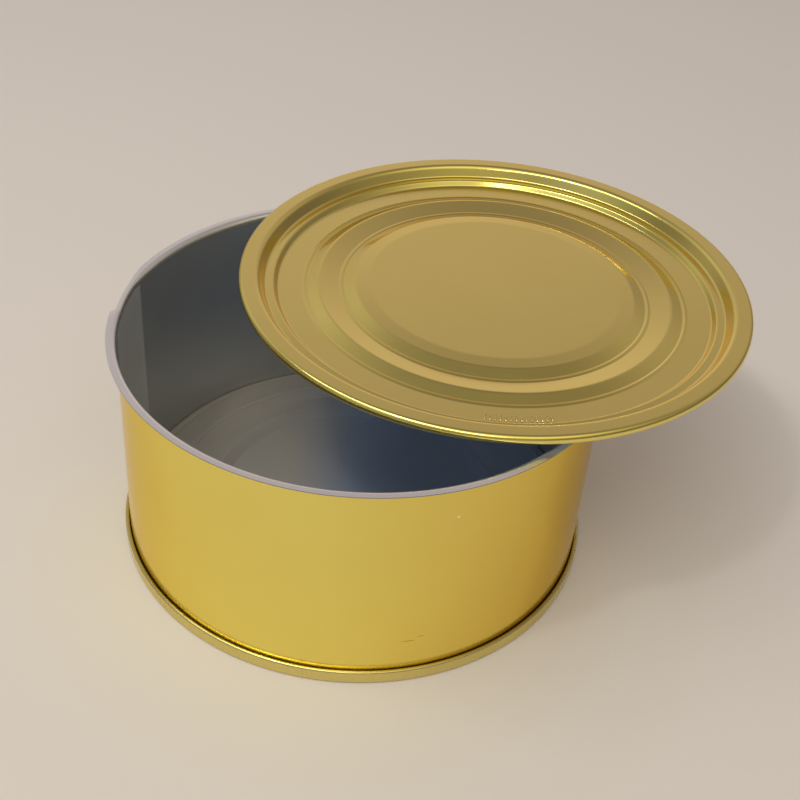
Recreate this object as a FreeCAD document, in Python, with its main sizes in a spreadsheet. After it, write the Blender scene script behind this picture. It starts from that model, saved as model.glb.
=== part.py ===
# An empty round food can, 99 mm across and 50 mm tall, with its loose end (the lid) lying across the rim.
#
# Three pieces of lacquered tinplate: the welded body, the bottom end, which is double seamed to it, and a
# second end of the same stamping, not yet seamed on. Each is one sheet spun or stamped round an axis, so
# each is an open profile of the sheet's outer face, thickened by its plate and turned through 360 degrees.
#
# The can's axis is Z and the table is Z = 0. The lid lies off the axis, towards +X and +Y.

import FreeCAD, Part
import math
import os
import Sketcher

# ---------------------------------------------------------------------------------------------- sizes, mm

SIZES = {
    # the body
    "bore_radius": 49.5,         # inside of the body: a 99 mm can
    "body_plate": 0.2,           # tinplate of the body
    "rim_height": 49.7,          # top of the rim above the table
    "rim_reach": 2.15,           # the rim's edge, outward of the bore
    "rim_bend": 1.2,             # the bend from wall to rim, on its inner face
    # the side weld, where the rolled sheet's two edges are lapped and mashed together
    "weld_lap": 0.6,             # its width
    "weld_proud": 0.05,          # how far it stands out of the wall, inside and outside
    "weld_margin": 2.0,          # it is flush nearer than this to the seam and to the rim's bend
    "weld_turn": 168.0,          # degrees round the axis from +X
    # the double seam
    "end_plate": 0.22,           # tinplate of both ends
    "chuck_play": 0.05,          # between the end's chuck wall and the body
    "seam_play": 0.15,           # between the layers of the seam
    "seam_height": 3.0,          # the seam's own height, from the table up
    "seam_bend": 0.45,           # its rounded foot, on the outer face
    "seam_flat": 0.04,           # left between the two bends of its top
    "hook_flat": 0.08,           # left between the two bends of the body hook's foot
    "hook_clearance": 0.41,      # from the body hook's edge up to the inside of the seam's top
    "cover_clearance": 0.43,     # from the cover hook's edge down to the inside of the body hook's foot
    # the stamping that both ends share: widths, from the chuck wall in to the middle
    "ledge_width": 1.93,         # the ledge at the foot of the chuck wall
    "wall_run": 0.9,             # the lower chuck wall, on plan
    "rest_flat": 5.0,            # the lowest flat, on which the lid rests
    "bead_run": 0.55,            # each side of the fine bead round a ring's foot, on plan
    "ring_run": 2.5,             # the step of each expansion ring, on plan
    "ring_rise": 4.3,            # from the outer ring's top in to the inner ring's bead
    "centre_roll": 2.9,          # from the inner ring's top in to the flat middle
    # and its depths, below the flange or above the seam's foot
    "ledge_depth": 2.5,          # the foot of the chuck wall
    "ledge_crown": 2.3,          # the ledge's inner edge, a little raised
    "panel_depth": 3.5,          # the lowest flat
    "bead_height": 0.2,          # the fine beads, above the lowest flat
    "ring_height": 0.95,         # the tops of both rings, above it
    "centre_height": 1.2,        # the flat middle, above it
    "wall_bend": 0.6,            # the bends of the chuck walls
    "ring_bend": 1.2,            # the bends of the rings' tops
    "bead_bend": 0.3,            # the bends of the fine beads
    "roll_bend": 6.0,            # the soft roll round the middle
    # the loose end
    "chuck_slip": 0.08,          # its chuck wall's foot, inward of the seamed end's, so that it drops in
    "wall_lean": 1.45,           # how far that wall leans out up to the flange
    "flange_bend": 1.4,          # the soft bend from chuck wall to flange
    "flange_width": 4.0,         # from that bend to the curled edge
    "curl_height": 2.0,
    "curl_flat": 0.1,            # left between the curl's two bends
    "curl_return": 1.3,          # how far the edge is turned back in
    # where the loose end lies
    "lid_right": 27.3,           # its axis, right of the can's axis
    "lid_back": 17.1,            # and behind it
}

# What follows from the sizes: radii from the axis, heights above the seam's foot, and bends.
FITS = {
    # the double seam: the body hook is a play away from the end on both sides, and so is the cover hook
    "chuck_face": "bore_radius - chuck_play - end_plate",
    "cover_face": "bore_radius + body_plate + seam_play",
    "hook_face": "cover_face + end_plate + seam_play + body_plate",
    "seam_face": "hook_face + seam_play + end_plate",
    "hook_foot": "end_plate + seam_play",
    "hook_edge": "seam_height - end_plate - hook_clearance",
    "cover_edge": "hook_foot + body_plate + cover_clearance",
    "hook_bend": "(hook_face - bore_radius - hook_flat) / 2",
    "cover_bend": "(seam_face - cover_face - seam_flat) / 2",
    # the stamping
    "ledge_inner": "chuck_face - ledge_width",
    "panel_radius": "ledge_inner - wall_run",
    "outer_bead_edge": "panel_radius - rest_flat",
    "outer_bead": "outer_bead_edge - bead_run",
    "outer_ring_foot": "outer_bead - bead_run",
    "outer_ring_top": "outer_ring_foot - ring_run",
    "inner_bead_edge": "outer_ring_top - ring_rise",
    "inner_bead": "inner_bead_edge - bead_run",
    "inner_ring_foot": "inner_bead - bead_run",
    "inner_ring_top": "inner_ring_foot - ring_run",
    "centre_radius": "inner_ring_top - centre_roll",
    "bead_depth": "panel_depth - bead_height",
    "ring_depth": "panel_depth - ring_height",
    "centre_depth": "panel_depth - centre_height",
    # the loose end, and its flange's height once it lies with its lowest flat on the rim
    "ledge_outer": "chuck_face - chuck_slip",
    "flange_inner": "ledge_outer + wall_lean",
    "curl_radius": "flange_inner + flange_width",
    "curl_edge": "curl_radius - curl_return",
    "curl_bend": "(curl_height - curl_flat) / 2",
    "lid_height": "rim_height + end_plate + panel_depth",
    # the rim and the side weld
    "rim_radius": "bore_radius + rim_reach",
    "weld_face": "bore_radius - weld_proud",
    "weld_thick": "body_plate + 2 * weld_proud",
    "weld_foot": "seam_height + weld_margin",
    "weld_length": "rim_height - rim_bend - seam_height - 2 * weld_margin",
}

# ------------------------------------------------------------------------------------ document and sheet

doc = FreeCAD.newDocument("tin_can")
sheet = doc.addObject("Spreadsheet::Sheet", "sizes")
for row, (alias, content) in enumerate(list(SIZES.items()) + list(FITS.items()), start=1):
    sheet.set("A%d" % row, alias)
    sheet.set("B%d" % row, "=" + content if alias in FITS else str(content))
    sheet.setAlias("B%d" % row, alias)
doc.recompute()


# --------------------------------------------------------------------------- a bent sheet, and its turning

def measure(name):
    """The value of a named size or fit, negative for "-name". None is 0."""
    if name is None:
        return 0.0
    return -sheet.get(name[1:]) if name.startswith("-") else sheet.get(name)


def bound(name):
    """The same as an expression on the sheet's cells."""
    return "-sizes." + name[1:] if name.startswith("-") else "sizes." + name


def hold(sketch, kind, point, name):
    """Hold a point of the sketch a named size across from the axis (DistanceX) or up (DistanceY)."""
    if name is None:
        axis = -2 if kind == "DistanceX" else -1
        sketch.addConstraint(Sketcher.Constraint("PointOnObject", point, 1, axis))
        return
    number = sketch.addConstraint(Sketcher.Constraint(kind, -1, 1, point, 1, measure(name)))
    label = "%s_%d" % ("across" if kind == "DistanceX" else "up", point)
    sketch.renameConstraint(number, label)
    sketch.setExpression("Constraints." + label, bound(name))


def profile(name, corners):
    """An open sketch in the XZ plane: straight runs from corner to corner, with a bend at each one between.

    A corner is its distance from the axis, its height, and its bend radius, each by name. None is on the
    axis, at height 0, or no bend.
    """
    sketch = doc.addObject("Sketcher::SketchObject", name)
    sketch.Placement = FreeCAD.Placement(FreeCAD.Vector(), FreeCAD.Rotation(FreeCAD.Vector(1, 0, 0), 90))
    spots = [FreeCAD.Vector(measure(across), measure(up), 0) for across, up, bend in corners]
    last = len(corners) - 1

    # the corners, as construction points 0 to last
    for spot, (across, up, bend) in zip(spots, corners):
        point = sketch.addGeometry(Part.Point(spot), True)
        hold(sketch, "DistanceX", point, across)
        hold(sketch, "DistanceY", point, up)

    # where each bend leaves the run before it and meets the run after it
    ends = [(spots[0], spots[0])]
    bends = []
    for i in range(1, last):
        radius = measure(corners[i][2])
        back = (spots[i - 1] - spots[i]).normalize()
        ahead = (spots[i + 1] - spots[i]).normalize()
        half = back.getAngle(ahead) / 2
        run = radius / math.tan(half)
        ends.append((spots[i] + back * run, spots[i] + ahead * run))
        middle = spots[i] + (back + ahead).normalize() * (radius / math.sin(half))
        bends.append((i, middle, radius, ahead.cross(back).z > 0))
    ends.append((spots[last], spots[last]))

    # the straight runs
    lines = []
    for i in range(last):
        line = sketch.addGeometry(Part.LineSegment(ends[i][1], ends[i + 1][0]))
        for corner, end in ((i, 1), (i + 1, 2)):
            if corner in (0, last):
                sketch.addConstraint(Sketcher.Constraint("Coincident", line, end, corner, 1))
            else:
                sketch.addConstraint(Sketcher.Constraint("PointOnObject", corner, 1, line))
        lines.append(line)

    # the bends, each an arc drawn anticlockwise
    for i, middle, radius, turns_left in bends:
        first, second = ends[i] if turns_left else reversed(ends[i])
        start = math.atan2(first.y - middle.y, first.x - middle.x)
        stop = math.atan2(second.y - middle.y, second.x - middle.x)
        circle = Part.Circle(middle, FreeCAD.Vector(0, 0, 1), radius)
        arc = sketch.addGeometry(Part.ArcOfCircle(circle, start, stop))
        before, after = (1, 2) if turns_left else (2, 1)
        sketch.addConstraint(Sketcher.Constraint("Tangent", lines[i - 1], 2, arc, before))
        sketch.addConstraint(Sketcher.Constraint("Tangent", lines[i], 1, arc, after))
        number = sketch.addConstraint(Sketcher.Constraint("Radius", arc, radius))
        sketch.renameConstraint(number, "bend_%d" % i)
        sketch.setExpression("Constraints.bend_%d" % i, bound(corners[i][2]))
    return sketch


def turned_sheet(name, corners, plate):
    """The sheet whose outer face follows the corners, its plate on the left of the way they go."""
    thick = doc.addObject("Part::Offset2D", name + "_section")
    thick.Source = profile(name + "_profile", corners)
    thick.Mode = "Skin"
    thick.Join = "Intersection"
    thick.Fill = True
    thick.setExpression("Value", bound(plate))
    turned = doc.addObject("Part::Revolution", name)
    turned.Source = thick
    turned.Axis = FreeCAD.Vector(0, 0, 1)
    turned.Base = FreeCAD.Vector(0, 0, 0)
    turned.Angle = 360
    turned.Solid = True
    return turned


AXIS = TABLE = FLANGE = None     # the turning axis, and each profile's own height 0

# ------------------------------------------------------------------------------------------------ the body

# From the rim's edge in and down the bore, then round the foot and back up as the body hook.
wall = turned_sheet("body_wall", [
    ("rim_radius", "rim_height", None),
    ("bore_radius", "rim_height", "rim_bend"),
    ("bore_radius", "hook_foot", "hook_bend"),
    ("hook_face", "hook_foot", "hook_bend"),
    ("hook_face", "hook_edge", None),
], "body_plate")

# The weld is a thin bar through the wall. It is made at +X and turned to its place with the whole body.
weld = doc.addObject("Part::Box", "side_weld")
weld.setExpression("Length", "sizes.weld_thick")
weld.setExpression("Width", "sizes.weld_lap")
weld.setExpression("Height", "sizes.weld_length")
weld.setExpression("Placement.Base.x", "sizes.weld_face")
weld.setExpression("Placement.Base.y", "-sizes.weld_lap / 2")
weld.setExpression("Placement.Base.z", "sizes.weld_foot")

body = doc.addObject("Part::Fuse", "body")
body.Base = wall
body.Tool = weld
body.Placement = FreeCAD.Placement(FreeCAD.Vector(), FreeCAD.Rotation(FreeCAD.Vector(0, 0, 1), 0))
body.setExpression("Placement.Rotation.Angle", "sizes.weld_turn")
body.Label = "can_body"

# --------------------------------------------------------------------------------- the stamping of an end

# The panel from the axis out to the ledge: across, depth and bend. One tool makes it on both ends.
STAMPING = [
    (AXIS, "centre_depth", None),
    ("centre_radius", "centre_depth", "roll_bend"),
    ("inner_ring_top", "ring_depth", "ring_bend"),
    ("inner_ring_foot", "panel_depth", "bead_bend"),
    ("inner_bead", "bead_depth", "bead_bend"),
    ("inner_bead_edge", "panel_depth", "bead_bend"),
    ("outer_ring_top", "ring_depth", "ring_bend"),
    ("outer_ring_foot", "panel_depth", "bead_bend"),
    ("outer_bead", "bead_depth", "bead_bend"),
    ("outer_bead_edge", "panel_depth", "bead_bend"),
    ("panel_radius", "panel_depth", "wall_bend"),
    ("ledge_inner", "ledge_crown", "wall_bend"),
]

# ------------------------------------------------------------------------------------------ the bottom end

# Its hollow side faces down. The chuck wall fills the body's mouth, the foot goes round the body's hook,
# and the edge is turned over and down between that hook and the body's wall: the cover hook.
bottom = turned_sheet("bottom", STAMPING + [
    ("chuck_face", "ledge_depth", "wall_bend"),
    ("chuck_face", TABLE, "seam_bend"),
    ("seam_face", TABLE, "seam_bend"),
    ("seam_face", "seam_height", "cover_bend"),
    ("cover_face", "seam_height", "cover_bend"),
    ("cover_face", "cover_edge", None),
], "end_plate")
bottom.Label = "bottom_end"

# ------------------------------------------------------------------------------------------- the loose end

# Drawn from the curled edge in to the axis, with the top of its flange at 0 and its hollow side up.
lid = turned_sheet("lid", [
    ("curl_edge", "-curl_height", None),
    ("curl_radius", "-curl_height", "curl_bend"),
    ("curl_radius", FLANGE, "curl_bend"),
    ("flange_inner", FLANGE, "flange_bend"),
    ("ledge_outer", "-ledge_depth", "wall_bend"),
] + [(across, "-" + depth, bend) for across, depth, bend in reversed(STAMPING)], "end_plate")
lid.Label = "loose_lid"

# It lies on the rim: the underside of its lowest flat is level with the rim's top.
lid.setExpression("Placement.Base.x", "sizes.lid_right")
lid.setExpression("Placement.Base.y", "sizes.lid_back")
lid.setExpression("Placement.Base.z", "sizes.lid_height")

# ------------------------------------------------------------------------------------------------- writing

doc.recompute()
for thing in doc.Objects:
    if "Invalid" in thing.State or "Error" in thing.State:
        raise RuntimeError("%s failed: %s" % (thing.Label, thing.State))
for piece in (body, bottom, lid):
    if piece.Shape.isNull() or not piece.Shape.isValid() or len(piece.Shape.Solids) != 1:
        raise RuntimeError("%s is not one valid solid" % piece.Label)

os.makedirs("parts", exist_ok=True)
for piece in (body, bottom, lid):
    piece.Shape.exportStep(os.path.join("parts", piece.Label + ".step"))
    print("%s: %.1f mm3" % (piece.Label, piece.Shape.Volume))
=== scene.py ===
import math

import bmesh
import bpy
from mathutils import Matrix, Vector


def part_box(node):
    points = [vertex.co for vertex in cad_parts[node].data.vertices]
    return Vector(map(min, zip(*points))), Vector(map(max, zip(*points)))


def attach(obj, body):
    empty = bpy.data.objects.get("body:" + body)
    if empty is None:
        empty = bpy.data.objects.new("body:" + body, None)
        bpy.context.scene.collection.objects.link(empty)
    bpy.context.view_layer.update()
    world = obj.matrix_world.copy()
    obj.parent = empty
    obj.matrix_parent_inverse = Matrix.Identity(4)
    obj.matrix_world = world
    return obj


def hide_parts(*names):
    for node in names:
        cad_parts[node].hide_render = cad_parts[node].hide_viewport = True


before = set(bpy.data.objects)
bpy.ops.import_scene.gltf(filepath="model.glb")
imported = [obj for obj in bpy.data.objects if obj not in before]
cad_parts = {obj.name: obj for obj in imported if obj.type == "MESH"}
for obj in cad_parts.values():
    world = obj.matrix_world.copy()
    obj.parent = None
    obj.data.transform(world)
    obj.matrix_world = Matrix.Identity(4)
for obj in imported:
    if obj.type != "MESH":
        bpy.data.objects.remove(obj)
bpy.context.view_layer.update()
MM = 0.001


# ===================================================================================== the can body
# The body is one strip of tinplate, 0.2 mm thick, rolled round and welded down its side. Its outside
# carries a gold lacquer and its inside a grey one. The rim is flanged outward, ready for the second end,
# and the foot is turned back up inside the double seam.

def linear(code):
    """An sRGB hex colour such as "F3D965", as the linear red, green, blue and alpha that a shader takes."""
    parts = [int(code[i:i + 2], 16) / 255 for i in (0, 2, 4)]
    return [p / 12.92 if p <= 0.04045 else ((p + 0.055) / 1.055) ** 2.4 for p in parts] + [1.0]


def add(tree, kind, sockets=None, **settings):
    """A node of this kind with its settings; its sockets are given values, or other nodes' outputs."""
    made = tree.nodes.new(kind)
    for name, value in settings.items():
        setattr(made, name, value)
    for name, value in (sockets or {}).items():
        if isinstance(value, bpy.types.NodeSocket):
            tree.links.new(value, made.inputs[name])
        else:
            made.inputs[name].default_value = value
    return made


def new_material(name):
    """An empty material of that name, its node tree and its output node."""
    made = bpy.data.materials.new(name)
    made.use_nodes = True
    made.node_tree.nodes.clear()
    return made, made.node_tree, add(made.node_tree, "ShaderNodeOutputMaterial")


def placed(name, content):
    """An object of that name with that mesh, lamp or camera, in the scene."""
    piece = bpy.data.objects.new(name, content)
    bpy.context.scene.collection.objects.link(piece)
    return piece


def bent_face(corners):
    """The drawn face of a bent sheet, as points and the ways to the sheet's other face, on the left.

    A corner is its distance from the axis, its height and its bend, all in mm. A bend is drawn every 6
    degrees, and a straight run has a loop 0.15 mm from each end, so that it shades as flat.
    """
    bend_step, loop = math.radians(6), 0.15
    spots = [Vector((across, up)) for across, up, bend in corners]
    points, ways = [], []

    def put(spot, way):
        points.append(spot.copy())
        ways.append(way.copy())

    def run(start, stop):
        along = (stop - start).normalized()
        way = Vector((-along.y, along.x))
        put(start, way)
        if (stop - start).length > 4 * loop:
            put(start + along * loop, way)
            put(stop - along * loop, way)
        return way

    leave = spots[0]
    for i in range(1, len(corners) - 1):
        bend = corners[i][2]
        back = (spots[i - 1] - spots[i]).normalized()
        ahead = (spots[i + 1] - spots[i]).normalized()
        half = back.angle(ahead) / 2
        reach = bend / math.tan(half)
        meet = spots[i] + back * reach
        way = run(leave, meet)
        middle = spots[i] + (back + ahead).normalized() * (bend / math.sin(half))
        side = 1 if back.x * ahead.y - back.y * ahead.x < 0 else -1
        turn = side * (math.pi - 2 * half)
        steps = max(2, math.ceil(abs(turn) / bend_step))
        for k in range(steps):
            spin = Matrix.Rotation(turn * k / steps, 2)
            put(middle + spin @ (meet - middle), spin @ way)
        leave = spots[i] + ahead * reach
    way = run(leave, spots[-1])
    put(spots[-1], way)
    return points, ways


TURNS = 240                      # how many steps make a full turn
DRAWN, OTHER, CUT = 0, 1, 2      # the places of a sheet's finishes: its drawn face, its other face, its edges


def turned_sheet(name, corners, plate, finishes, centre=(0, 0), bare=()):
    """A sheet turned round an upright axis, with its finishes in the order drawn face, other face, cut edges.

    bare gives the angles, in degrees, between which the other face has the last finish.
    """
    points, ways = bent_face(corners)
    far = [spot + way * plate for spot, way in zip(points, ways)]
    loop = points + far[::-1]
    kinds = [DRAWN] * (len(points) - 1) + [CUT] + [OTHER] * (len(points) - 1) + [CUT]
    vertices, rings = [], []
    for spot in loop:
        if abs(spot.x) < 1e-6:
            rings.append([len(vertices)] * TURNS)
            vertices.append((centre[0], centre[1], spot.y * MM))
            continue
        rings.append(list(range(len(vertices), len(vertices) + TURNS)))
        for k in range(TURNS):
            angle = 2 * math.pi * k / TURNS
            vertices.append((centre[0] + spot.x * MM * math.cos(angle),
                             centre[1] + spot.x * MM * math.sin(angle), spot.y * MM))
    faces, numbers = [], []
    for i, kind in enumerate(kinds):
        here, there = rings[i], rings[(i + 1) % len(rings)]
        if here[0] == here[1] and there[0] == there[1]:
            continue
        for k in range(TURNS):
            n = (k + 1) % TURNS
            face = list(dict.fromkeys((here[k], here[n], there[n], there[k])))
            faces.append(face)
            middle = 360 * (k + 0.5) / TURNS
            stripped = kind == OTHER and bare and bare[0] < middle < bare[1]
            numbers.append(len(finishes) - 1 if stripped else kind)
    mesh = bpy.data.meshes.new(name)
    mesh.from_pydata(vertices, [], faces)
    for finish in finishes:
        mesh.materials.append(finish)
    mesh.polygons.foreach_set("material_index", numbers)
    mesh.polygons.foreach_set("use_smooth", [True] * len(faces))
    mesh.update()
    mesh.validate()
    # the sheared edges are sharp
    work = bmesh.new()
    work.from_mesh(mesh)
    bmesh.ops.recalc_face_normals(work, faces=work.faces)
    for edge in work.edges:
        beside = [face.material_index for face in edge.link_faces]
        if len(beside) == 2 and CUT in beside and beside[0] != beside[1]:
            edge.smooth = False
    work.to_mesh(mesh)
    work.free()
    return placed(name, mesh)


NOISE_LOW, NOISE_HIGH = 0.3, 0.7         # a noise stays between these nearly everywhere
# The strip's rolling lines, in mm. They are 0.05 mm apart, and drawn 0.4 mm apart so that they show at all.
LINE_SPACING, LINE_HEIGHT = 0.4, 0.004


def rolled_grain(tree, place, round_the_can):
    """The strip's fine rolling lines, from 0 to 1: round the body, or straight across an end.

    A line keeps its tone for half a radian, 25 mm, round the body, and for 40 mm across an end.
    """
    per_radian, per_metre = 2.0, 25.0
    spacing = LINE_SPACING * MM
    if round_the_can:
        parts = add(tree, "ShaderNodeSeparateXYZ", {0: place})
        angle = add(tree, "ShaderNodeMath", {0: parts.outputs[1], 1: parts.outputs[0]}, operation="ARCTAN2")
        place = add(tree, "ShaderNodeCombineXYZ", {0: angle.outputs[0], 2: parts.outputs[2]}).outputs[0]
        stretch = (per_radian, 1.0, 1 / spacing)
    else:
        stretch = (per_metre, 1 / spacing, per_metre)
    lines = add(tree, "ShaderNodeMapping", {0: place, "Scale": stretch})
    grain = add(tree, "ShaderNodeTexNoise", {"Vector": lines.outputs[0], "Scale": 1.0, "Detail": 3.0})
    return grain.outputs[0]


def blended(tree, share, first, second):
    """The first colour where share is 0 and the second where it is 1."""
    return add(tree, "ShaderNodeMix", {0: share, 6: first, 7: second}, data_type="RGBA").outputs[2]


def wandering_tint(tree, place, size, first, second):
    """A colour that wanders between two over that many millimetres."""
    cloud = add(tree, "ShaderNodeTexNoise", {"Vector": place, "Scale": 1 / (size * MM), "Detail": 2.0})
    share = add(tree, "ShaderNodeMapRange", {0: cloud.outputs[0], 1: NOISE_LOW, 2: NOISE_HIGH})
    return blended(tree, share.outputs[0], linear(first), linear(second))


def painted_shade_drift(tree, place, start, stop, colour, tone):
    """That colour, going softly over to a tone between two places along X, in mm: the tone is painted shade.
    """
    parts = add(tree, "ShaderNodeSeparateXYZ", {0: place})
    share = add(tree, "ShaderNodeMapRange", {0: parts.outputs[0], 1: start * MM, 2: stop * MM},
                interpolation_type="SMOOTHSTEP")
    return blended(tree, share.outputs[0], colour, linear(tone))


def small_mark(tree, place, angle, out, up, size, slope=0.0):
    """1 on a small oval mark on the body's wall, 0 elsewhere, with a soft edge over its outer 40%.

    The mark's angle is in degrees; its distance from the axis, its height and its size, which is length,
    width and depth, are in mm; its slope is in radians.
    """
    across = math.radians(angle)
    quarter = math.radians(90)
    local = add(tree, "ShaderNodeMapping", {
        0: place,
        "Location": (out * math.cos(across) * MM, out * math.sin(across) * MM, up * MM),
        "Rotation": (quarter + slope, 0, across + quarter),
        "Scale": [side / 2 * MM for side in size],
    }, vector_type="TEXTURE")
    reach = add(tree, "ShaderNodeVectorMath", {0: local.outputs[0]}, operation="LENGTH")
    return add(tree, "ShaderNodeMapRange", {0: reach.outputs["Value"], 1: 1.0, 2: 0.6}).outputs[0]


# Gold lacquer on tinplate: a clear yellow epoxy-phenolic stoving lacquer, 5 microns thick, rolled on and
# baked. The tin shines through it, so it reads as a soft gold metal with a thin clear gloss on top. The
# film's weight wanders by a few percent over 10 to 20 mm. On the body its colour also drifts deeper along
# X: a guess, which gives the can its warmer side and may really be the light's doing. On the body its
# colour also drifts deeper along X: painted shade, which gives the can its warmer, darker side away from
# the lamps.
def gold_lacquer(name, round_the_can, first="F5E375", second="F3E071", smooth=0.185, gloss=1.0, marks=()):
    rougher = 0.025              # what the rolling lines add to the roughness
    made, tree, out = new_material(name)
    place = add(tree, "ShaderNodeTexCoord").outputs["Object"]
    grain = rolled_grain(tree, place, round_the_can)
    rough = add(tree, "ShaderNodeMapRange", {
        0: grain, 1: NOISE_LOW, 2: NOISE_HIGH, 3: smooth, 4: smooth + rougher,
    })
    bump = add(tree, "ShaderNodeBump", {"Height": grain, "Strength": 0.01, "Distance": LINE_HEIGHT * MM})
    colour = wandering_tint(tree, place, 18, first, second)
    if round_the_can:
        # on the body the colour drifts deeper along X: painted shade
        colour = painted_shade_drift(tree, place, -10, 42, colour, "EFD15F")
    for mark, tone in marks:
        colour = blended(tree, small_mark(tree, place, *mark), colour, linear(tone))
    shade = add(tree, "ShaderNodeBsdfPrincipled", {
        "Base Color": colour, "Metallic": 1.0,
        "Roughness": rough.outputs[0], "Normal": bump.outputs[0],
        "Specular Tint": linear("F2DC9A"),
        "Coat Weight": gloss, "Coat Roughness": 0.07, "Coat IOR": 1.5,
    })
    tree.links.new(shade.outputs[0], out.inputs[0])
    return made


# Grey lacquer on tinplate: an epoxy with a grey pigment, rolled on and stoved. It dulls the mirror of the
# tin to a soft grey and leaves the strip's fine rolling lines. The flanging tool burnishes it to nearly
# bare tin at the rim. With a drift, it goes over to a cooler grey along X: a guess too, as above. With a
# drift, it goes over to a cooler grey along X: painted shade, as above.
def grey_lacquer(name, round_the_can, first="CFD1CF", second="C9CCCC", metallic=0.7, smooth=0.36, drift=None):
    rougher = 0.04               # what the rolling lines add to the roughness
    made, tree, out = new_material(name)
    place = add(tree, "ShaderNodeTexCoord").outputs["Object"]
    grain = rolled_grain(tree, place, round_the_can)
    rough = add(tree, "ShaderNodeMapRange", {
        0: grain, 1: NOISE_LOW, 2: NOISE_HIGH, 3: smooth, 4: smooth + rougher,
    })
    bump = add(tree, "ShaderNodeBump", {"Height": grain, "Strength": 0.008, "Distance": LINE_HEIGHT * MM})
    colour = wandering_tint(tree, place, 25, first, second)
    # the drift is painted shade: a cooler grey along X
    if drift:
        colour = painted_shade_drift(tree, place, -18, 4, colour, drift)
    shade = add(tree, "ShaderNodeBsdfPrincipled", {
        "Base Color": colour, "Metallic": metallic,
        "Roughness": rough.outputs[0], "Normal": bump.outputs[0],
    })
    tree.links.new(shade.outputs[0], out.inputs[0])
    return made


# Sheared steel: the strip's cut edges show the steel between the two coats of tin, grey and rougher than the
# faces, with a fracture of 0.6 mm grains.
def sheared_steel(name):
    made, tree, out = new_material(name)
    place = add(tree, "ShaderNodeTexCoord").outputs["Object"]
    burr = add(tree, "ShaderNodeTexNoise", {"Vector": place, "Scale": 1 / (0.6 * MM), "Detail": 3.0})
    shade = add(tree, "ShaderNodeBsdfPrincipled", {
        "Base Color": blended(tree, burr.outputs[0], linear("A5A6A6"), linear("8C8D8E")),
        "Metallic": 1.0, "Roughness": 0.5,
    })
    tree.links.new(shade.outputs[0], out.inputs[0])
    return made


# Wear from handling: a chip in the lacquer near the rim, a hairline scratch above the seam and a scuff by
# it.
# The body's gold also drifts deeper along X: painted shade.
gold_body_painted_shade = gold_lacquer("gold_lacquer_body_painted_shade", True, gloss=0.45, marks=[
    ((-67.7, 49.7, 41.3, (0.8, 0.6, 1.0)), "FFF6D8"),
    ((-76.0, 49.7, 10.3, (3.6, 0.22, 1.0), 0.12), "B0923C"),
    ((-73.2, 49.7, 11.2, (1.6, 0.2, 1.0), -0.2), "A98A38"),
])
grey_body = grey_lacquer("grey_lacquer_body", True)
burnished_rim = grey_lacquer("burnished_tin_rim", True, "F6F5E8", "F0F0E6", 0.85, 0.26)
# The repair stripe is a pale lacquer sprayed over the weld inside, matt because it is sprayed and not rolled.
side_stripe = grey_lacquer("sprayed_side_stripe", True, "F3F4EC", "ECEDE6", 0.5, 0.4)
cut_steel = sheared_steel("sheared_steel")

low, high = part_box("can_body")
BORE, BODY_PLATE = 49.5, 0.2
RIM_EDGE, RIM_TOP = high.x / MM, high.z / MM
RIM_BEND, HOOK_BEND, HOOK_HEIGHT = 1.2, 0.42, 2.0
END_PLATE, SEAM_PLAY = 0.22, 0.15
HOOK_FACE = BORE + 2 * BODY_PLATE + 2 * SEAM_PLAY + END_PLATE
HOOK_FOOT = END_PLATE + SEAM_PLAY
WELD_TURN = 168.0                # where the weld stands, in degrees round the body
BARE_MARGIN = 3.0                # degrees each side of the weld with no lacquer: 2.6 mm
STRIPE_FROM, STRIPE_TO = 165.0, 187.5    # the sprayed stripe inside, in degrees
BURNISHED = 1.3                  # how far down from the rim the flanging tool has burnished the inside, in mm
RIM_FINISH, STRIPE_FINISH = 3, 4

body = turned_sheet("can_body_sheet", [
    (RIM_EDGE, RIM_TOP, None),
    (BORE, RIM_TOP, RIM_BEND),
    (BORE, HOOK_FOOT, HOOK_BEND),
    (HOOK_FACE, HOOK_FOOT, HOOK_BEND),
    (HOOK_FACE, HOOK_FOOT + HOOK_HEIGHT, None),
], BODY_PLATE, [grey_body, gold_body_painted_shade, cut_steel, burnished_rim, side_stripe, grey_body],
    bare=(WELD_TURN - BARE_MARGIN, WELD_TURN + BARE_MARGIN))
for face in body.data.polygons:
    if face.material_index != DRAWN:
        continue
    if face.center.z / MM > RIM_TOP - BURNISHED:
        face.material_index = RIM_FINISH
    elif STRIPE_FROM < math.degrees(math.atan2(face.center.y, face.center.x)) % 360 < STRIPE_TO:
        face.material_index = STRIPE_FINISH

# The strip's edges don't take the full curve, so the wall peaks a little at the weld. From there to
# FLANGE_STEP the flange is bent down and in a little, as by a knock, and ends in a small step.
PEAK, PEAK_REACH = 0.3, 9.0      # mm at the rim, and degrees each side of the weld
FLANGE_DIP, FLANGE_PULL = 0.35, 0.8      # mm down and mm in, at the flange's edge
DIP_START, DIP_RAMP, FLANGE_STEP = 160.0, 8.0, 179.7     # degrees
FLANGE_FOOT = RIM_TOP - 1.5


def peak_at(up):
    """How far the wall stands out at the weld at that height, in mm: nothing at the seam, most at the rim."""
    return PEAK * up / RIM_TOP


def within(value):
    """That value, kept from 0 to 1."""
    return min(1.0, max(0.0, value))


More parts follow.
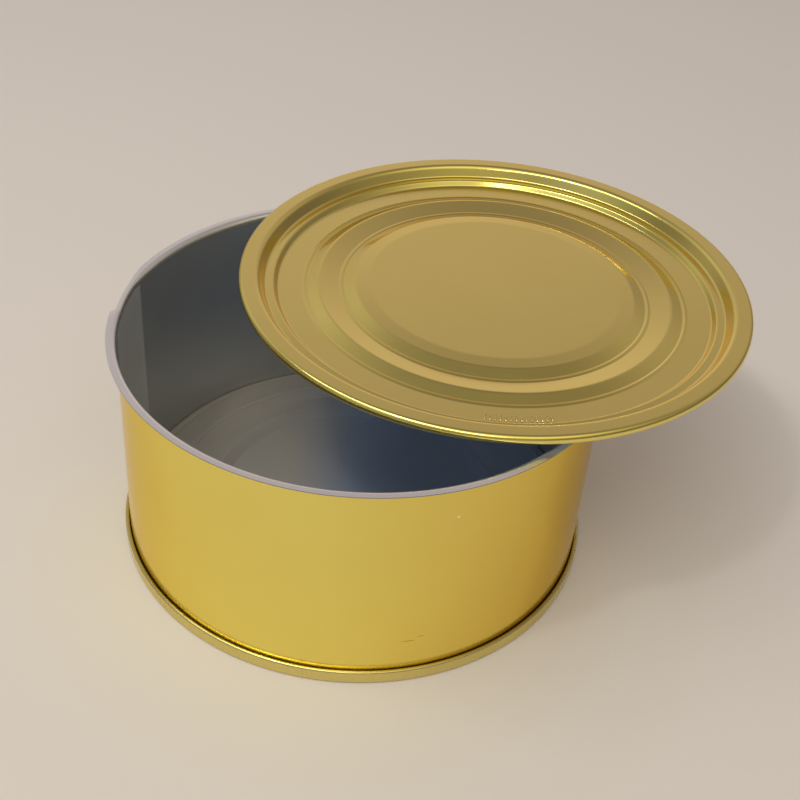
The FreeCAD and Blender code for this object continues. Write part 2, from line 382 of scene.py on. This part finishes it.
for vertex in body.data.vertices:
    spot = vertex.co / MM
    across, angle = math.hypot(spot.x, spot.y), math.degrees(math.atan2(spot.y, spot.x)) % 360
    near = within(1 - abs(angle - WELD_TURN) / PEAK_REACH)
    part = within((across - BORE) / (RIM_EDGE - BORE)) if spot.z > FLANGE_FOOT else 0.0
    turned = within((angle - DIP_START) / DIP_RAMP) if angle < FLANGE_STEP else 0.0
    grown = 1 + (peak_at(spot.z) * near - FLANGE_PULL * part * turned) / across
    vertex.co = (vertex.co.x * grown, vertex.co.y * grown, vertex.co.z - FLANGE_DIP * part * turned * MM)
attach(body, "root")
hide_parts("can_body")

# ------------------------------------------------------------------------------------ the side weld
# The strip's two edges are lapped 0.6 mm and mashed together between copper wheels: a narrow raised track of
# grey steel outside, and the same track under the sprayed stripe inside.
WELD_FOOT, WELD_HEAD = 5.0, 46.5
WELD_PROUD, WELD_EASE = 0.05, 0.03       # how far it stands out of the plate, and how much of that is eased
WELD_HALF, WELD_FLAT = 0.3, 0.22         # from the middle to its edge, and to where it starts to ease off
outer, inner = BORE + BODY_PLATE + WELD_PROUD, BORE - WELD_PROUD
section = [
    (inner, -WELD_FLAT), (inner + WELD_EASE, -WELD_HALF),
    (outer - WELD_EASE, -WELD_HALF), (outer, -WELD_FLAT),
    (outer, WELD_FLAT), (outer - WELD_EASE, WELD_HALF),
    (inner + WELD_EASE, WELD_HALF), (inner, WELD_FLAT),
]
STRIPED_SIDES = (0, 6, 7)                # the section's sides that face the inside
sides, rows = len(section), 60
turn = Matrix.Rotation(math.radians(WELD_TURN), 3, "Z")
vertices, faces, numbers = [], [], []
for k in range(rows + 1):
    up = WELD_FOOT + (WELD_HEAD - WELD_FOOT) * k / rows
    for across, aside in section:
        vertices.append(turn @ Vector((across + peak_at(up), aside, up)) * MM)
for k in range(rows):
    for i in range(sides):
        j = (i + 1) % sides
        faces.append((sides * k + i, sides * k + j, sides * (k + 1) + j, sides * (k + 1) + i))
        numbers.append(1 if i in STRIPED_SIDES else 0)
faces.append(tuple(range(sides - 1, -1, -1)))
faces.append(tuple(range(sides * rows, sides * (rows + 1))))
mesh = bpy.data.meshes.new("side_weld")
mesh.from_pydata(vertices, [], faces)
mesh.materials.append(cut_steel)
mesh.materials.append(side_stripe)
mesh.polygons.foreach_set("material_index", numbers + [0, 0])
weld = placed("side_weld", mesh)
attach(weld, "root")
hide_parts("can_body")

# =================================================================================== the bottom end
# A disc of tinplate, 0.22 mm thick, stamped with two expansion rings and double seamed to the body: its edge
# goes down the chuck wall, round the body's hook, and is rolled over and down inside it.
# The seaming rolls rub its gold duller, and its deeper gold is painted shade where it stands on the table.
# Its floor drifts from warm grey to blue-grey along X: painted light and shade, warm where the lamps reach
# it and blue-grey in the shade of the loose end.
gold_seam_painted_shade = gold_lacquer("gold_lacquer_seam_painted_shade", False, "DFD07F", "DACA79", 0.26)
grey_floor_painted_shade = grey_lacquer("grey_lacquer_floor_painted_shade", False, "F0E6D4", "E6DFD2", 0.58, 0.34, "B9CBE8")

PANEL, LEDGE, LEDGE_CROWN = 3.5, 2.5, 2.3
CENTRE, RINGS, BEAD = PANEL - 1.2, PANEL - 0.95, PANEL - 0.2
WALL_BEND = 0.6
# each corner's distance from the axis, its depth under the flange or its height over the table, and its bend
STAMPING = [
    (0.0, CENTRE, None), (27.0, CENTRE, 6.0),
    (29.9, RINGS, 1.2), (32.4, PANEL, 0.3), (32.95, BEAD, 0.3), (33.5, PANEL, 0.3),
    (37.8, RINGS, 1.2), (40.3, PANEL, 0.3), (40.85, BEAD, 0.3), (41.4, PANEL, 0.3),
    (46.4, PANEL, WALL_BEND), (47.3, LEDGE_CROWN, WALL_BEND),
]
low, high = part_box("bottom_end")
CHUCK_PLAY = 0.05
CHUCK_FACE = BORE - CHUCK_PLAY - END_PLATE
SEAM_FACE = high.x / MM
SEAM_TOP, SEAM_BEND, COVER_HOOK = 3.0, 0.45, 2.0
COVER_FACE = BORE + BODY_PLATE + SEAM_PLAY
bottom = turned_sheet("bottom_end_sheet", STAMPING + [
    (CHUCK_FACE, LEDGE, WALL_BEND),
    (CHUCK_FACE, 0.0, SEAM_BEND),
    (SEAM_FACE, 0.0, SEAM_BEND),
    (SEAM_FACE, SEAM_TOP, SEAM_BEND),
    (COVER_FACE, SEAM_TOP, SEAM_BEND),
    (COVER_FACE, SEAM_TOP - COVER_HOOK, None),
], END_PLATE, [gold_seam_painted_shade, grey_floor_painted_shade, cut_steel])
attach(bottom, "root")
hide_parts("bottom_end")

# ==================================================================================== the loose end
# The second end, from the same tool and not yet seamed on: the same rings, a flange round them, and an edge
# curled down. It lies gold side up across the rim, off to one side, and rests there by its own weight.
# Its gold is paler over the ribs: a painted highlight on them. Its underside is a guess, the same blue-grey
# all over: painted shade, which tints the floor blue where the loose end shades it.
gold_end = gold_lacquer("gold_lacquer_end", False)
gold_ribs_painted_highlight = gold_lacquer("gold_lacquer_ribs_painted_highlight", False, "F8E79C", "F5E498")
grey_under_painted_shade = grey_lacquer("grey_lacquer_underside_painted_shade", False, "B2C2D2", "ABBBCB", 0.58, 0.34)
RIB_PAINTED_HIGHLIGHT = 3

low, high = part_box("loose_lid")
lid_axis = ((low.x + high.x) / 2, (low.y + high.y) / 2)
CURL_EDGE, FLANGE_TOP = (high.x - low.x) / 2 / MM, high.z / MM
CURL_TUCK, CURL_HEIGHT, CURL_BEND = 1.3, 2.0, 0.95
FLANGE_IN, FLANGE_BEND, WALL_FOOT = 50.6, 1.4, 49.15
lid = turned_sheet("loose_lid_sheet", [
    (across, FLANGE_TOP - depth, bend) for across, depth, bend in [
        (CURL_EDGE - CURL_TUCK, CURL_HEIGHT, None),
        (CURL_EDGE, CURL_HEIGHT, CURL_BEND),
        (CURL_EDGE, 0.0, CURL_BEND),
        (FLANGE_IN, 0.0, FLANGE_BEND),
        (WALL_FOOT, LEDGE, WALL_BEND),
    ] + STAMPING[::-1]
], END_PLATE, [gold_end, grey_under_painted_shade, cut_steel, gold_ribs_painted_highlight], centre=lid_axis)

# A row of short plain ribs is struck up in the flat round the rings, where a lid has its batch mark. Every
# third rib is shorter. Each is half round, and swells to a hump near each end, with a lower middle.
FLAT_TOP = FLANGE_TOP - PANEL
RIB_IN, RIB_OUT, RIB_SHORTER = 43.6, 45.7, 0.5
RIB_WIDE, RIB_HIGH, RIB_SUNK = 0.5, 0.36, 0.03
MARK_FROM, MARK_TO, RIB_STEP = 265.0, 282.0, 1.25        # degrees
LENGTHS, ROUNDS = 8, 6                   # how many faces a rib has along it and over it
END_SWELL, HUMP_FACES = 0.12, 2.2        # where in the swell it starts, and how many faces in its hump is
middle = Vector((lid_axis[0], lid_axis[1], 0))
struck = bmesh.new()
struck.from_mesh(lid.data)
for rib in range(math.ceil((MARK_TO - MARK_FROM) / RIB_STEP)):
    angle = math.radians(MARK_FROM + RIB_STEP * rib)
    way = Vector((math.cos(angle), math.sin(angle), 0))
    aside = Vector((-way.y, way.x, 0))
    start = RIB_IN + (RIB_SHORTER if rib % 3 == 1 else 0)
    rows = []
    for k in range(LENGTHS + 1):
        along = start + (RIB_OUT - start) * k / LENGTHS
        from_end = min(k, LENGTHS - k) / HUMP_FACES
        swell = math.sin(math.pi * min(1.0, END_SWELL + from_end * (0.5 - END_SWELL)))
        row = []
        for j in range(ROUNDS + 1):
            over = math.pi * j / ROUNDS
            up = FLAT_TOP - RIB_SUNK + (RIB_HIGH + RIB_SUNK) * swell * math.sin(over)
            spot = way * along - aside * (RIB_WIDE / 2 * swell * math.cos(over)) + Vector((0, 0, up))
            row.append(struck.verts.new(spot * MM + middle))
        rows.append(row)
    for near, far in zip(rows, rows[1:]):
        for j in range(ROUNDS):
            face = struck.faces.new((near[j], far[j], far[j + 1], near[j + 1]))
            face.smooth = True
            # the ribs take the paler gold: a painted highlight
            face.material_index = RIB_PAINTED_HIGHLIGHT
struck.to_mesh(lid.data)
struck.free()
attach(lid, "root")
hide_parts("loose_lid")

# ======================================================================================== the table
# Not part of the object: a plain pale table top, matt paint with no pattern.
matt_paint, tree, out = new_material("table_matt_paint")
shade = add(tree, "ShaderNodeBsdfPrincipled", {
    "Base Color": linear("F8F1E6"), "Roughness": 0.6, "Specular IOR Level": 0.3,
})
tree.links.new(shade.outputs[0], out.inputs[0])
SPAN = 3.0
mesh = bpy.data.meshes.new("table")
mesh.from_pydata([(-SPAN, -SPAN, 0), (SPAN, -SPAN, 0), (SPAN, SPAN, 0), (-SPAN, SPAN, 0)], [], [(0, 1, 2, 3)])
mesh.materials.append(matt_paint)
table = placed("table", mesh)

# ======================================================================================== the light
# A plain dim room, in the world: its own tone, and the soft glows of its walls and windows. A row of small
# windows and a bulb are lamps, high at the left in front. The floor carries most of the light that the can's
# sides mirror.


def way_to(azimuth, elevation):
    """The way to that azimuth and elevation, in degrees."""
    a, e = math.radians(azimuth), math.radians(elevation)
    return Vector((math.cos(a) * math.cos(e), math.sin(a) * math.cos(e), math.sin(e)))


ROOM_TONE = (0.11, 0.09, 0.115)
GLOW_SPREAD = 11.5               # how fast a glow falls off: to a half over 20 degrees
# The glows' strengths started from a least-squares fit, and were then rounded and changed.
GLOWS = [                        # azimuth and elevation in degrees, then linear red, green and blue
    (90, 8, 0.48, 0.41, 0.38), (150, 8, 0.10, 0.09, 0.07), (210, 8, 0.18, 0.19, 0.13),
    (270, 8, 0.22, 0.20, 0.12), (345, 33, 0.13, 0.12, 0.09), (45, 33, 0.27, 0.24, 0.21),
    (90, 33, 0.14, 0.115, 0.16), (135, 33, 0.40, 0.38, 0.35), (225, 35, 0.15, 0.17, 0.21),
    (210, 60, 0.38, 0.42, 0.45), (300, 60, 0.90, 0.83, 0.60),
]
world = bpy.data.worlds.new("room")
bpy.context.scene.world = world
world.use_nodes = True
tree = world.node_tree
tree.nodes.clear()
toward = add(tree, "ShaderNodeTexCoord").outputs["Generated"]
total = ROOM_TONE
for azimuth, elevation, *tone in GLOWS:
    facing = add(tree, "ShaderNodeVectorMath", {0: toward, 1: way_to(azimuth, elevation)},
                 operation="DOT_PRODUCT")
    fall = add(tree, "ShaderNodeMath", {0: facing.outputs["Value"], 1: GLOW_SPREAD, 2: -GLOW_SPREAD},
               operation="MULTIPLY_ADD")
    share = add(tree, "ShaderNodeMath", {0: fall.outputs[0]}, operation="EXPONENT")
    total = add(tree, "ShaderNodeVectorMath", {0: share.outputs[0], 1: tone, 2: total},
                operation="MULTIPLY_ADD").outputs[0]
glow = add(tree, "ShaderNodeBackground", {"Color": total, "Strength": 1.0})
add(tree, "ShaderNodeOutputWorld", {0: glow.outputs[0]})


def lamp(name, azimuth, elevation, distance, across, up, power, colour):
    """A flat rectangular lamp that faces the middle of the can, in degrees, metres and watts."""
    light = bpy.data.lights.new(name, "AREA")
    light.shape = "RECTANGLE"
    light.size, light.size_y, light.energy = across, up, power
    light.color = linear(colour)[:3]
    way, can_middle = way_to(azimuth, elevation), Vector((0, 0, 0.03))
    piece = placed(name, light)
    piece.location = way * distance + can_middle
    piece.rotation_euler = (-way).to_track_quat("-Z", "Y").to_euler()


lamp("window_row", 221, 64, 0.7, 0.9, 0.12, 1.5, "FFFDF6")
lamp("bulb", 221, 62, 0.75, 0.05, 0.05, 0.32, "FFFEFA")

# ======================================================================================= the camera
# It stands close in front of the can, looks down on it at 37 degrees and is rolled by 5 degrees.
STANDOFF, EYE_HEIGHT = 0.21084, 0.19333
YAW, PITCH, ROLL = 0.0399, 0.654, 0.0844         # radians
camera = bpy.data.cameras.new("camera")
camera.sensor_width, camera.lens = 36.0, 56.23
view = placed("camera", camera)
ahead = Vector((math.sin(YAW) * math.cos(PITCH), math.cos(YAW) * math.cos(PITCH), -math.sin(PITCH)))
right = ahead.cross(Vector((0, 0, 1))).normalized()
over = right.cross(ahead)
right_rolled = right * math.cos(ROLL) + over * math.sin(ROLL)
over_rolled = over * math.cos(ROLL) - right * math.sin(ROLL)
turn = Matrix((right_rolled, over_rolled, -ahead)).transposed()
view.matrix_world = Matrix.Translation((0, -STANDOFF, EYE_HEIGHT)) @ turn.to_4x4()
bpy.context.scene.camera = view
bpy.context.scene.view_settings.view_transform = "Standard"
